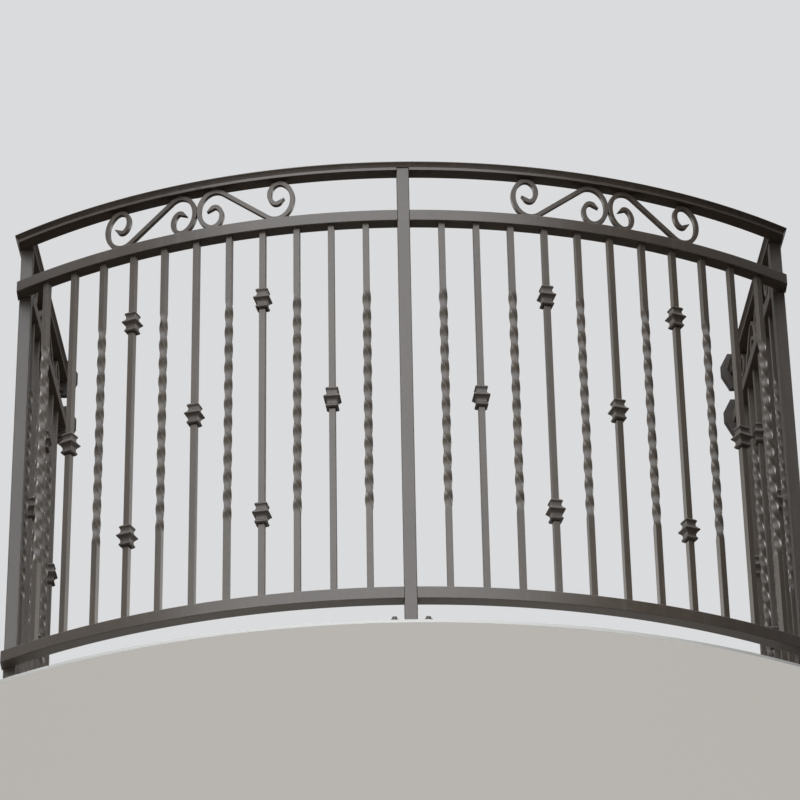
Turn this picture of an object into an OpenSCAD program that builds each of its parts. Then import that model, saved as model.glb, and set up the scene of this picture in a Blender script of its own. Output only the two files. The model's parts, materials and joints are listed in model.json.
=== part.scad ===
// Bowed balcony railing of square bars: a curved front between two corner posts,
// a straight return to the wall on each side, twisted and collared pickets,
// and pairs of S scrolls between the mid rail and the top rail.
// Origin: underside of the centre post's base plate. Z up, the bow faces -Y.

/* [Overall] */
// Height from the floor to the top of the cap rail
rail_height = 1067; // [900:1:1300]
// Width over the outer faces of the corner posts
front_width = 1596; // [1200:1:2000]
// Plan radius of the bowed front, to the middle of its rails
bow_radius = 1350; // [1150:5:2600]
// Distance from the middle of the centre post back to the wall
wall_distance = 830; // [680:1:1200]
// Angle in degrees by which each side leans inwards on its way to the wall
side_splay = 3.2; // [0:0.1:6]

/* [Bars] */
// Width of the square posts
post_width = 25.4; // [20:0.1:40]
// Depth of the rails, front to back
rail_width = 30; // [18:0.1:40]
// Height of the mid rail and the bottom rail
rail_thick = 25.4; // [16:0.1:40]
// Height of the flat top rail under the cap
top_rail_thick = 6.8; // [4:0.1:14]
// Width of the square pickets
picket_width = 12.7; // [10:0.1:18]
// Distance from picket to picket, measured along the rail
picket_pitch = 70; // [50:0.5:110]
// How far the ends of the curved rails pass the corner posts
rail_proud = 3; // [0:0.1:6]
// Depth to which a curved rail is cut out to seat on the corner post
corner_seat = 5; // [2:0.1:8]

/* [Levels] */
// Clear height under the bottom rail
bottom_gap = 75; // [40:1:150]
// Clear height of the scroll band, between the mid rail and the top rail
scroll_gap = 95.6; // [70:0.1:140]

/* [Cap rail] */
// Width of the moulded cap rail
cap_width = 43; // [36:0.1:60]
// Height of the moulded cap rail
cap_height = 12; // [8:0.1:18]
// Height of the rounded nose along each edge of the cap
cap_nose = 3.2; // [2:0.1:5]
// Rise of the crown along the middle of the cap
cap_crown = 1.6; // [0.5:0.1:2]
// Depth of the hollow under each edge of the cap
cap_hollow = 1; // [0.3:0.1:2]

/* [Twisted pickets] */
// Length of the twisted stretch
twist_length = 508; // [300:1:600]
// Quarter turns in the twisted stretch
twist_quarters = 12; // [4:1:16]
// Height of the middle of the twists and of the single collars
feature_height = 525; // [440:1:600]
// Distance between the two collars of a double picket
collar_spacing = 487; // [200:1:600]

/* [Collars] */
// Height of a collar
collar_height = 46; // [30:0.5:70]
// Width of a collar over its middle flange
collar_width = 33; // [27:0.1:44]
// Width of a collar over its end flanges
collar_end_width = 25; // [21:0.1:27]
// Thickness of each flange of a collar
collar_flange = 2.6; // [1.5:0.1:5]
// Width of a collar at its two necks
collar_neck = 20.4; // [16:0.1:22]
// Height of the bevel at either end of a collar
collar_bevel = 2.4; // [1:0.1:4]

/* [Scrolls] */
// Thickness of the scroll bar
scroll_bar = 9.5; // [6:0.1:13]
// Length of one S scroll
scroll_length = 206.6; // [170:0.1:240]
// Width of a volute as a share of its height
volute_squeeze = 0.79; // [0.7:0.01:0.9]
// Radius of the second turn of a volute
volute_second_r = 25.2; // [20:0.1:28]
// Radius of the last turn of a volute
volute_last_r = 13.5; // [10:0.1:16]
// Length over which each end of a scroll is drawn out to its tip
scroll_taper = 13; // [8:0.5:16]
// Width of the drawn-out tip of a scroll
scroll_tip = 1.6; // [1:0.1:4]
// Depth to which the two scrolls of a pair are welded into each other
scroll_weld = 0.4; // [0.2:0.1:1]

/* [Fixings] */
// Side of the square base plates
base_side = 90; // [70:1:130]
// Thickness of the base plates
base_thick = 8; // [5:0.5:15]
// Distance between the bolt holes of a base plate
base_bolt_pitch = 64; // [50:1:80]
// Diameter of the bolt holes of a base plate
base_bolt_d = 11; // [6:0.5:14]
// Height of the wall flanges
flange_height = 96; // [80:1:110]
// Width of the wall flanges
flange_width = 72; // [52:1:90]
// Thickness of the wall flanges
flange_thick = 8; // [5:0.1:12]
// Distance between the two screw holes of a wall flange
flange_screw_pitch = 64; // [58:0.5:66]
// Diameter of the screw holes of a wall flange
flange_screw_d = 7; // [4:0.1:9]

/* [Hidden] */

paint = "#4a433d";
bow_fn = 720;
past = 5;

// Levels, from the floor up
bottom_rail_z = bottom_gap;
picket_bottom = bottom_gap + rail_thick;
cap_z = rail_height - cap_height;
top_rail_z = cap_z - top_rail_thick;
mid_rail_top = top_rail_z - scroll_gap;
mid_rail_z = mid_rail_top - rail_thick;
twist_bottom = feature_height - twist_length / 2;
twist_top = feature_height + twist_length / 2;

// Plan of the corners
half_width = front_width / 2;
side_x = half_width - post_width / 2;
seat_y = bow_radius - sqrt(pow(bow_radius - rail_width / 2, 2) - pow(half_width, 2));
corner_y = seat_y - corner_seat + post_width / 2;
side_start = corner_y + post_width / 2;
side_end = wall_distance - flange_thick;
bow_angle = asin((half_width + rail_proud) / (bow_radius - cap_width)) + 1;

// Places of the pickets, as lengths along the front from its middle
first_picket = post_width / 2 + picket_pitch - picket_width / 2;
corner_length = bow_radius * asin((side_x - post_width) / bow_radius) * PI / 180;
front_count = floor((corner_length - first_picket) / picket_pitch) + 1;

// Lengths along a side, from the middle of the corner post, and places of its pickets in equal gaps
side_from = (side_start - corner_y) / cos(side_splay);
side_to = (side_end - corner_y) / cos(side_splay);
side_count = round((side_to - side_from) / picket_pitch) - 1;
side_pitch = (side_to - side_from) / (side_count + 1);
wall_x = side_x - side_to * sin(side_splay);

function picket_kind(i) = i % 2 == 1 ? "twisted" : i % 4 == 0 ? "double" : "single";
function collar_levels(kind) = kind == "double"
    ? [feature_height - collar_spacing / 2, feature_height + collar_spacing / 2]
    : [feature_height];
function front_angle(along) = along / bow_radius * 180 / PI;
function place_along(i) = first_picket + (i - 1) * picket_pitch;
function from_angle(a) = [cos(a), sin(a)];
function circle_arc(at, r, from, to, steps) =
    [for (i = [0:steps]) at + r * from_angle(from + (to - from) * i / steps)];

// Mitre of the cap, from the outer to the inner corner of its outline: where a line beside
// the middle of a side meets the circle beside the middle of the bow
side_dir = [-sin(side_splay), cos(side_splay)];
side_out = [cos(side_splay), sin(side_splay)];
function cap_corner(d) =
    let (w = [side_x, corner_y - bow_radius] + d * side_out)
    let (s = -w * side_dir - sqrt(pow(w * side_dir, 2) - w * w + pow(bow_radius + d, 2)))
    [w[0], w[1] + bow_radius] + s * side_dir;
mitre_out = cap_corner(cap_width / 2);
mitre_in = cap_corner(-cap_width / 2);
mitre_dir = (mitre_out - mitre_in) / norm(mitre_out - mitre_in);

// Path of half an S scroll, before it is squeezed: three arcs, each one tangent to the last at
// an angle of its own, and a straight end that tapers to the tip
second_from = -66;
last_from = -235;
tip_from = -305;
taper_n = 4;
scroll_reach = (scroll_length - scroll_weld) / 2;
scroll_r = (scroll_gap - scroll_bar) / 2;
volute_x = (scroll_length / 2 - scroll_bar / 2) / volute_squeeze - scroll_r;
lean = asin(scroll_r / volute_x);
first_at = [volute_x, 0];
second_at = first_at + (scroll_r - volute_second_r) * from_angle(second_from);
last_at = second_at + (volute_second_r - volute_last_r) * from_angle(last_from);
taper_at = last_at + volute_last_r * from_angle(tip_from);
taper_dir = [sin(tip_from), -cos(tip_from)];
taper_step = scroll_taper / taper_n / norm([volute_squeeze * taper_dir[0], taper_dir[1]]) * taper_dir;
volute_path = concat(
    circle_arc(first_at, scroll_r, 90 + lean, second_from, 16),
    circle_arc(second_at, volute_second_r, second_from - 11, last_from, 14),
    circle_arc(last_at, volute_last_r, last_from - 12, tip_from, 6),
    [for (i = [1:taper_n]) taper_at + i * taper_step]);

// The whole path, from the tip of one volute to the tip of the other, and the bar's outline
volute_n = len(volute_path);
scroll_path = concat(
    [for (i = [volute_n - 1:-1:0]) [-volute_squeeze * volute_path[i][0], -volute_path[i][1]]],
    [for (p = volute_path) [volute_squeeze * p[0], p[1]]]);
scroll_n = len(scroll_path);
function scroll_half(i) =
    let (share = min(1, min(i, scroll_n - 1 - i) / taper_n))
    (scroll_tip + (scroll_bar - scroll_tip) * share) / 2;
function scroll_normal(i) =
    let (d = scroll_path[min(i + 1, scroll_n - 1)] - scroll_path[max(i - 1, 0)])
    [-d[1], d[0]] / norm(d);
scroll_outline = concat(
    [for (i = [0:scroll_n - 1]) scroll_path[i] + scroll_half(i) * scroll_normal(i)],
    [for (i = [scroll_n - 1:-1:0]) scroll_path[i] - scroll_half(i) * scroll_normal(i)]);

// Outline of the cap rail: a flat foot on the top rail, a hollow slope, a rounded nose and a low crown
cap_nose_z = cap_height - cap_crown - cap_nose / 2;
cap_nose_x = cap_width / 2 - cap_nose / 2;
cap_foot = [rail_width / 2, 0];
cap_slope = [cap_nose_x, cap_nose_z - cap_nose / 2] - cap_foot;
cap_slope_in = [-cap_slope[1], cap_slope[0]] / norm(cap_slope);
cap_half = concat(
    [for (i = [0:5]) let (t = i / 6)
        cap_foot + t * cap_slope + 4 * t * (1 - t) * cap_hollow * cap_slope_in],
    circle_arc([cap_nose_x, cap_nose_z], cap_nose / 2, -80, 90, 8),
    [[cap_width / 4, cap_height - cap_crown / 4]]);
cap_outline = concat(
    cap_half,
    [[0, cap_height]],
    [for (i = [len(cap_half) - 1:-1:0]) [-cap_half[i][0], cap_half[i][1]]]);

// Half outline of a collar, from the bottom up: three flanges with a cove between each two, and
// a bevel at either end
collar_step = (collar_height - 2 * collar_bevel - 3 * collar_flange) / 2;
collar_middle = (collar_height - collar_flange) / 2;
collar_top = collar_height - collar_bevel;
collar_end_r = collar_end_width / 2;
collar_r = collar_width / 2;
function cove(z, from, to) = [for (s = [1:5]) let (t = s / 6)
    [from + (to - from) * t - ((from + to) / 2 - collar_neck / 2) * 4 * t * (1 - t), z + collar_step * t]];
collar_half = concat(
    [[collar_end_r - collar_bevel, 0]],
    [[collar_end_r, collar_bevel], [collar_end_r, collar_bevel + collar_flange]],
    cove(collar_bevel + collar_flange, collar_end_r, collar_r),
    [[collar_r, collar_middle], [collar_r, collar_middle + collar_flange]],
    cove(collar_middle + collar_flange, collar_r, collar_end_r),
    [[collar_end_r, collar_top - collar_flange], [collar_end_r, collar_top]],
    [[collar_end_r - collar_bevel, collar_height]]);
collar_outline = concat(
    collar_half,
    [for (i = [len(collar_half) - 1:-1:0]) [-collar_half[i][0], collar_half[i][1]]]);

function side_sign(side) = side == "left" ? -1 : 1;

// The frame on the left is the mirror of the frame on the right
module on_side(side) {
    if (side == "left") mirror([1, 0, 0]) children();
    else children();
}

// Puts a piece on the bow, turned to face straight out, at a length along the front
module on_bow(along, radius = bow_radius) {
    translate([0, bow_radius, 0])
        rotate([0, 0, front_angle(along)])
            translate([0, -radius, 0]) children();
}

module post_space(x, y, z0, z1) {
    translate([x - post_width / 2, y - post_width / 2, z0])
        cube([post_width, post_width, z1 - z0]);
}

module bow_rail(thick) {
    translate([0, bow_radius, 0])
        rotate([0, 0, -90])
            rotate_extrude(angle = bow_angle, $fn = bow_fn)
                translate([bow_radius - rail_width / 2, 0]) square([rail_width, thick]);
}

module front_rail(side, z, thick, seated) {
    color(paint) on_side(side) translate([0, 0, z]) difference() {
        bow_rail(thick);
        post_space(0, 0, -past, thick + past);
        translate([half_width + rail_proud, 0, -past])
            cube([bow_radius, bow_radius, thick + 2 * past]);
        if (seated) post_space(side_x, corner_y, -past, thick + past);
    }
}

// Puts a piece at a length along a side, from the middle of the corner post, turned with the side
module along_side(side, along, level = 0) {
    s = side_sign(side);
    translate([s * (side_x - along * sin(side_splay)), corner_y + along * cos(side_splay), level])
        rotate([0, 0, s * side_splay]) children();
}

// A bar along a side, cut square to the wall at its far end
module side_bar(side, z, thick, from_y) {
    intersection() {
        along_side(side, 0, z)
            translate([-rail_width / 2, -side_to / 2, 0]) cube([rail_width, 2 * side_to, thick]);
        translate([-front_width, from_y, z - past])
            cube([2 * front_width, side_end - from_y, thick + 2 * past]);
    }
}

module side_rail(side, z, thick) {
    color(paint) side_bar(side, z, thick, side_start);
}

// The top rail of a side reaches the back of the curved one over the corner post
module side_top_rail(side) {
    color(paint) intersection() {
        side_bar(side, top_rail_z, top_rail_thick, 0);
        translate([0, bow_radius, top_rail_z - past])
            cylinder(r = bow_radius - rail_width / 2, h = top_rail_thick + 2 * past, $fn = bow_fn);
    }
}

module mitre_side() {
    translate([mitre_in[0], mitre_in[1], cap_z - past])
        rotate([0, 0, atan2(mitre_dir[1], mitre_dir[0])])
            translate([-bow_radius / 2, 0, 0])
                cube([bow_radius, bow_radius, cap_height + 2 * past]);
}

module cap_front() {
    color(paint) difference() {
        translate([0, bow_radius, cap_z])
            rotate([0, 0, -90 - bow_angle])
                rotate_extrude(angle = 2 * bow_angle, $fn = bow_fn)
                    translate([bow_radius, 0]) polygon(cap_outline);
        mitre_side();
        mirror([1, 0, 0]) mitre_side();
    }
}

module cap_side(side) {
    color(paint) on_side(side) intersection() {
        along_side("right", 2 * side_to, cap_z)
            rotate([90, 0, 0])
                linear_extrude(height = 3 * side_to) polygon(cap_outline);
        mitre_side();
        translate([0, 0, cap_z - past]) cube([front_width, side_end, cap_height + 2 * past]);
    }
}

module post(x, y, top) {
    color(paint) post_space(x, y, base_thick, top);
}

module base_plate(x, y) {
    color(paint) translate([x, y, 0]) difference() {
        translate([-base_side / 2, -base_side / 2, 0]) cube([base_side, base_side, base_thick]);
        for (sx = [-1, 1], sy = [-1, 1])
            translate([sx * base_bolt_pitch / 2, sy * base_bolt_pitch / 2, -past])
                cylinder(d = base_bolt_d, h = base_thick + 2 * past, $fn = 48);
    }
}

module picket_bar(z0, z1) {
    translate([-picket_width / 2, -picket_width / 2, z0])
        cube([picket_width, picket_width, z1 - z0]);
}

module twisted_picket() {
    union() {
        picket_bar(picket_bottom, twist_bottom);
        translate([0, 0, twist_bottom])
            linear_extrude(height = twist_length, twist = 90 * twist_quarters,
                           slices = 4 * twist_quarters, segments = 4)
                square(picket_width, center = true);
        picket_bar(twist_top, mid_rail_z);
    }
}

module collar() {
    difference() {
        intersection() {
            translate([0, collar_width, 0]) rotate([90, 0, 0])
                linear_extrude(height = 2 * collar_width) polygon(collar_outline);
            translate([-collar_width, 0, 0]) rotate([90, 0, 90])
                linear_extrude(height = 2 * collar_width) polygon(collar_outline);
        }
        picket_bar(-past, collar_height + past);
    }
}

module picket_part(kind, want) {
    if (want == "twisted" && kind == "twisted") twisted_picket();
    if (want == "straight" && kind != "twisted") picket_bar(picket_bottom, mid_rail_z);
    if (want == "collars" && kind != "twisted")
        for (z = collar_levels(kind)) translate([0, 0, z - collar_height / 2]) collar();
}

// The pickets are placed one by one and not mirrored, so that all twists turn the same way
module front_pickets(side, want) {
    color(paint)
        for (i = [1:front_count])
            on_bow(side_sign(side) * place_along(i)) picket_part(picket_kind(i), want);
}

module side_pickets(side, want) {
    color(paint)
        for (i = [1:side_count])
            along_side(side, side_from + i * side_pitch) picket_part(picket_kind(i), want);
}

module s_scroll() {
    translate([0, scroll_bar / 2, mid_rail_top + scroll_gap / 2])
        rotate([90, 0, 0])
            linear_extrude(height = scroll_bar) polygon(scroll_outline);
}

// Two S scrolls, one the mirror of the other, welded where their large turns meet
module scrolls_front(side) {
    middle = place_along(ceil(front_count / 2));
    dip = scroll_length * scroll_length / 16 / bow_radius;
    color(paint) on_side(side) union() {
        on_bow(middle - scroll_reach, bow_radius - dip) s_scroll();
        on_bow(middle + scroll_reach, bow_radius - dip) mirror([1, 0, 0]) s_scroll();
    }
}

module scrolls_side(side) {
    middle = (side_from + side_to) / 2;
    color(paint) along_side(side, middle) rotate([0, 0, 90]) union() {
        translate([-scroll_reach, 0, 0]) s_scroll();
        translate([scroll_reach, 0, 0]) mirror([1, 0, 0]) s_scroll();
    }
}

// Outline of a wall flange, a tall plate with its corners cut off, shrunk by an inset
module flange_outline(inset) {
    w = flange_width / 2 - inset;
    h = flange_height / 2 - inset;
    cut = flange_height * 0.18;
    polygon([[w, h - 2 * cut], [w - cut, h], [cut - w, h], [-w, h - 2 * cut],
             [-w, 2 * cut - h], [cut - w, -h], [w - cut, -h], [w, 2 * cut - h]]);
}

module wall_flange() {
    plain = flange_thick * 0.4;
    rotate([90, 0, 0]) difference() {
        union() {
            linear_extrude(height = plain) flange_outline(0);
            translate([0, 0, plain])
                linear_extrude(height = flange_thick - plain) flange_outline(flange_thick * 0.4);
        }
        for (s = [-1, 1])
            translate([0, s * flange_screw_pitch / 2, -past])
                cylinder(d = flange_screw_d, h = flange_thick + 2 * past, $fn = 48);
    }
}

module wall_flanges(side) {
    levels = [bottom_rail_z + rail_thick / 2, mid_rail_z + rail_thick / 2, (top_rail_z + rail_height) / 2];
    color(paint) on_side(side)
        for (z = levels) translate([wall_x, wall_distance, z]) wall_flange();
}

post(0, 0, cap_z);  // post_centre
post(-side_x, corner_y, top_rail_z);  // post_corner_left
post(side_x, corner_y, top_rail_z);  // post_corner_right
base_plate(0, 0);  // base_plate_centre
base_plate(-side_x, corner_y);  // base_plate_left
base_plate(side_x, corner_y);  // base_plate_right
cap_front();
cap_side("left");  // cap_side_left
cap_side("right");  // cap_side_right
front_rail("left", top_rail_z, top_rail_thick, false);  // top_rail_front_left
front_rail("right", top_rail_z, top_rail_thick, false);  // top_rail_front_right
side_top_rail("left");  // top_rail_side_left
side_top_rail("right");  // top_rail_side_right
front_rail("left", mid_rail_z, rail_thick, true);  // mid_rail_front_left
front_rail("right", mid_rail_z, rail_thick, true);  // mid_rail_front_right
side_rail("left", mid_rail_z, rail_thick);  // mid_rail_side_left
side_rail("right", mid_rail_z, rail_thick);  // mid_rail_side_right
front_rail("left", bottom_rail_z, rail_thick, true);  // bottom_rail_front_left
front_rail("right", bottom_rail_z, rail_thick, true);  // bottom_rail_front_right
side_rail("left", bottom_rail_z, rail_thick);  // bottom_rail_side_left
side_rail("right", bottom_rail_z, rail_thick);  // bottom_rail_side_right
scrolls_front("left");  // scrolls_front_left
scrolls_front("right");  // scrolls_front_right
scrolls_side("left");  // scrolls_side_left
scrolls_side("right");  // scrolls_side_right
front_pickets("left", "twisted");  // twisted_front_left
front_pickets("right", "twisted");  // twisted_front_right
side_pickets("left", "twisted");  // twisted_side_left
side_pickets("right", "twisted");  // twisted_side_right
front_pickets("left", "straight");  // straight_front_left
front_pickets("right", "straight");  // straight_front_right
side_pickets("left", "straight");  // straight_side_left
side_pickets("right", "straight");  // straight_side_right
front_pickets("left", "collars");  // collars_front_left
front_pickets("right", "collars");  // collars_front_right
side_pickets("left", "collars");  // collars_side_left
side_pickets("right", "collars");  // collars_side_right
wall_flanges("left");  // wall_flanges_left
wall_flanges("right");  // wall_flanges_right
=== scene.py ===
# %% [markdown]
# # A bowed iron railing, dressed for its picture
# The railing was drawn first as plain solids, at its real size. This file loads those solids as a
# fixed frame and gives every piece the surface that the real one has: bars with soft arrises, smoothly
# twisted pickets, cast collars, scrolls with drawn-out tips, weld beads and a brushed satin enamel.
# Everything is in metres. Z is up, the bow faces -Y, and the two sides run back towards +Y, where each
# ends in flanges.

# %% Load the frame
import json
import math

import bpy
import numpy as np
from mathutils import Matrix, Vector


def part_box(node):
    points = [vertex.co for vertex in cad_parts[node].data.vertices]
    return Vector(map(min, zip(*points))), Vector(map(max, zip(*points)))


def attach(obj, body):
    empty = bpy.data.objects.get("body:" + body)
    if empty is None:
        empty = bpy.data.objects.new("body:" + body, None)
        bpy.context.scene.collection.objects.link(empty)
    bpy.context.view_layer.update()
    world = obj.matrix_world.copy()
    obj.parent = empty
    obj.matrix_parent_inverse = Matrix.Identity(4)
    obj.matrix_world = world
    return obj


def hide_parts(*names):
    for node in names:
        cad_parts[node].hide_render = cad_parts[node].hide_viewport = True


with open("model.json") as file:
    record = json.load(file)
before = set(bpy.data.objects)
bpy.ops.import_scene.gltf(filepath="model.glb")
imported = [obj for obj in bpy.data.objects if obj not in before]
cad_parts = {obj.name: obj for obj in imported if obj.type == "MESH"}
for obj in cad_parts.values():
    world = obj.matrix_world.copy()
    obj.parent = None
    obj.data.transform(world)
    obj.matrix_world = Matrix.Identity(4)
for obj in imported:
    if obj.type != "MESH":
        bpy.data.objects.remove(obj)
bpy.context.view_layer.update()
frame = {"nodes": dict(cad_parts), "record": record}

# %% [markdown]
# ## Sizes
# Levels and places are read off the frame's own boxes, so a piece made here always sits where the
# solid is. What a box can't tell, such as the radius of the bow or the width of a picket, is written
# here as a number.

# %% Sizes read off the frame
MM = 0.001
BOW_RADIUS = 1350 * MM
PICKET, PICKET_PITCH = 12.7 * MM, 70 * MM
RAIL_PROUD = 3 * MM
UP = np.array([0.0, 0.0, 1.0])


def corners(node):
    """Lowest and highest corner of a node, as two arrays."""
    low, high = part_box(node)
    return np.array(low), np.array(high)


post_low, post_high = corners("post_centre")
corner_low, corner_high = corners("post_corner_right")
top_low, top_high = corners("top_rail_front_right")
mid_low, mid_high = corners("mid_rail_front_right")
foot_low, foot_high = corners("bottom_rail_front_right")
side_low, side_high = corners("mid_rail_side_right")
cap_low, cap_high = corners("cap_front")
flange_low, flange_high = corners("wall_flanges_right")
collar_low, collar_high = corners("collars_front_right")

POST = post_high[0] - post_low[0]
SIDE_X, CORNER_Y = (corner_low + corner_high)[:2] / 2
HALF_WIDTH = corner_high[0]
SIDE_START, SIDE_END = side_low[1], side_high[1]
FLANGE_X = (flange_low[0] + flange_high[0]) / 2
LEAN = math.atan2(SIDE_X - FLANGE_X, SIDE_END - CORNER_Y)
RAIL = 2 * (math.hypot(BOW_RADIUS - mid_low[1], POST / 2) - BOW_RADIUS)
CAP_WIDTH, CAP_HEIGHT = -2 * cap_low[1], cap_high[2] - cap_low[2]
PICKET_LOW, PICKET_HIGH = foot_high[2], mid_low[2]
print("rails %.1f mm deep, sides lean in by %.1f degrees" % (RAIL / MM, math.degrees(LEAN)))

# %% [markdown]
# ## Camera
# The picture is taken from far below: the lens is about three metres under the foot of the railing and
# six in front of it, looking up by thirty degrees. At that distance a long lens flattens the bow. A
# camera looks along its own -Z, so its matrix is built from the three directions right, up and back.

# %% Camera
CAMERA_PLACE = (-0.1134, -6.0350, -2.9677)
CAMERA_PAN, CAMERA_TILT, CAMERA_ROLL = 0.01652, math.radians(30), -0.01853
LENS_MM, SENSOR_MM = 159.97, 36.0


def camera_matrix(place, pan, tilt, roll):
    """Columns are right, up and back: the view direction is turned by pan about Z and by tilt above
    the horizon, and right and up are then turned about it by roll."""
    forward = np.array([math.sin(pan) * math.cos(tilt), math.cos(pan) * math.cos(tilt), math.sin(tilt)])
    right = np.array([math.cos(pan), -math.sin(pan), 0.0])
    up = np.cross(right, forward)
    matrix = np.eye(4)
    matrix[:3, 0] = math.cos(roll) * right + math.sin(roll) * up
    matrix[:3, 1] = math.cos(roll) * up - math.sin(roll) * right
    matrix[:3, 2] = -forward
    matrix[:3, 3] = place
    return matrix


def new_object(name, data):
    """A new object in the scene, at the origin, that shows this mesh, lamp or camera."""
    thing = bpy.data.objects.new(name, data)
    bpy.context.scene.collection.objects.link(thing)
    return thing


camera = new_object("camera", bpy.data.cameras.new("camera"))
camera.data.lens, camera.data.sensor_width = LENS_MM, SENSOR_MM
camera.data.clip_end = 100.0
camera.matrix_world = camera_matrix(CAMERA_PLACE, CAMERA_PAN, CAMERA_TILT, CAMERA_ROLL).T
bpy.context.scene.camera = camera
print("camera", [round(v, 2) for v in camera.location])

# %% [markdown]
# ## Colours and nodes
# Paint makers and screens give colours as sRGB hex values, while a shader works with linear light. One
# function turns the first into the second. A second one adds any node, sets its values and joins it up.

# %% Colour and node helpers


def linear(hex_colour):
    """Linear RGBA of an sRGB hex colour: c / 12.92 below 0.04045, else ((c + 0.055) / 1.055) ** 2.4."""
    srgb = np.array([int(hex_colour[i:i + 2], 16) for i in (1, 3, 5)]) / 255
    rgb = np.where(srgb <= 0.04045, srgb / 12.92, ((srgb + 0.055) / 1.055) ** 2.4)
    return (*rgb.tolist(), 1.0)


def add(tree, kind, settings=(), links=()):
    """Adds one node. A setting's key is an input socket's name or number, or else a property's name,
    and a link joins an input to another node's output."""
    node = tree.nodes.new(kind)
    for key, value in dict(settings).items():
        if isinstance(key, int) or key in node.inputs:
            node.inputs[key].default_value = value
        else:
            setattr(node, key, value)
    for key, source in dict(links).items():
        tree.links.new(source, node.inputs[key])
    return node


print("dark bronze is", [round(c, 3) for c in linear("#4a433d")])

# %% [markdown]
# ## The paint
# The bars are mild steel and the collars cast iron, primed and then brushed with a satin alkyd enamel
# in dark bronze. Weather has worked on it: the sun has chalked it in soft patches, dust lies on what
# faces up, rain has drawn faint streaks down the uprights, and the brush and the hand have rubbed the
# arrises a little paler. The gloss of an alkyd film has an IOR near 1.5, which gives the eye a soft
# reflection of the sky over a brown-grey body. The wall flanges are painted a nearly black brown that
# stands in for the shade lying on them, and their enamel is rougher. All scales are in millimetres of
# the real railing.

# %% Satin enamel
PATCH, MOTTLE = 160 * MM, 9 * MM
STREAK_WIDTH, STREAK_LENGTH = 12 * MM, 220 * MM
FILM_DEPTH = 0.3 * MM


def satin_enamel(name, body, dusty, worn, roughness):
    """Body colour with sun-bleached patches, dust by the upward slope, streaks and paler arrises."""
    material = bpy.data.materials.new(name)
    material.use_nodes = True
    tree = material.node_tree
    tree.nodes.clear()
    place = add(tree, "ShaderNodeTexCoord").outputs["Object"]

    patches = add(tree, "ShaderNodeTexNoise", {"Scale": 1 / PATCH, "Detail": 4.0, "Roughness": 0.55},
                  {"Vector": place})
    mottle = add(tree, "ShaderNodeTexNoise", {"Scale": 1 / MOTTLE, "Detail": 3.0, "Roughness": 0.6},
                 {"Vector": place})
    drawn = add(tree, "ShaderNodeMapping",
                {"Scale": (1 / STREAK_WIDTH, 1 / STREAK_WIDTH, 1 / STREAK_LENGTH)}, {"Vector": place})
    streaks = add(tree, "ShaderNodeTexNoise", {"Scale": 1.0, "Detail": 2.0}, {"Vector": drawn.outputs[0]})

    light = add(tree, "ShaderNodeMapRange",
                {"From Min": 0.3, "From Max": 0.7, "To Min": 0.88, "To Max": 1.1},
                {"Value": patches.outputs["Fac"]})
    grain = add(tree, "ShaderNodeMapRange",
                {"From Min": 0.3, "From Max": 0.7, "To Min": 0.93, "To Max": 1.07},
                {"Value": mottle.outputs["Fac"]})
    value = add(tree, "ShaderNodeMath", {"operation": "MULTIPLY"},
                {0: light.outputs[0], 1: grain.outputs[0]})
    bodied = add(tree, "ShaderNodeHueSaturation", {"Color": linear(body)}, {"Value": value.outputs[0]})

    slope = add(tree, "ShaderNodeSeparateXYZ", (),
                {0: add(tree, "ShaderNodeNewGeometry").outputs["Normal"]})
    lying = add(tree, "ShaderNodeMapRange",
                {"From Min": 0.2, "From Max": 0.9, "To Min": 0.0, "To Max": 0.42},
                {"Value": slope.outputs["Z"]})
    hanging = add(tree, "ShaderNodeMapRange",
                  {"From Min": 0.55, "From Max": 0.85, "To Min": 0.0, "To Max": 0.22},
                  {"Value": streaks.outputs["Fac"]})
    dust = add(tree, "ShaderNodeMath", {"operation": "MAXIMUM"},
               {0: lying.outputs[0], 1: hanging.outputs[0]})
    dusted = add(tree, "ShaderNodeMix", {"data_type": "RGBA", 7: linear(dusty)},
                 {0: dust.outputs[0], 6: bodied.outputs[0]})

    arris = add(tree, "ShaderNodeAttribute", {"attribute_name": "arris"})
    rub = add(tree, "ShaderNodeMapRange",
              {"From Min": 0.45, "From Max": 0.75, "To Min": 0.02, "To Max": 0.22},
              {"Value": mottle.outputs["Fac"]})
    rubbed = add(tree, "ShaderNodeMath", {"operation": "MULTIPLY"},
                 {0: arris.outputs["Fac"], 1: rub.outputs[0]})
    colour = add(tree, "ShaderNodeMix", {"data_type": "RGBA", 7: linear(worn)},
                 {0: rubbed.outputs[0], 6: dusted.outputs[2]})

    dull = add(tree, "ShaderNodeMapRange",
               {"From Min": 0.0, "From Max": 0.5, "To Min": roughness, "To Max": roughness + 0.25},
               {"Value": dust.outputs[0]})
    film = add(tree, "ShaderNodeBump", {"Strength": 0.25, "Distance": FILM_DEPTH},
               {"Height": mottle.outputs["Fac"]})
    shader = add(tree, "ShaderNodeBsdfPrincipled", {"IOR": 1.5},
                 {"Base Color": colour.outputs[2], "Roughness": dull.outputs[0], "Normal": film.outputs[0]})
    add(tree, "ShaderNodeOutputMaterial", (), {"Surface": shader.outputs[0]})
    return material


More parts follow.
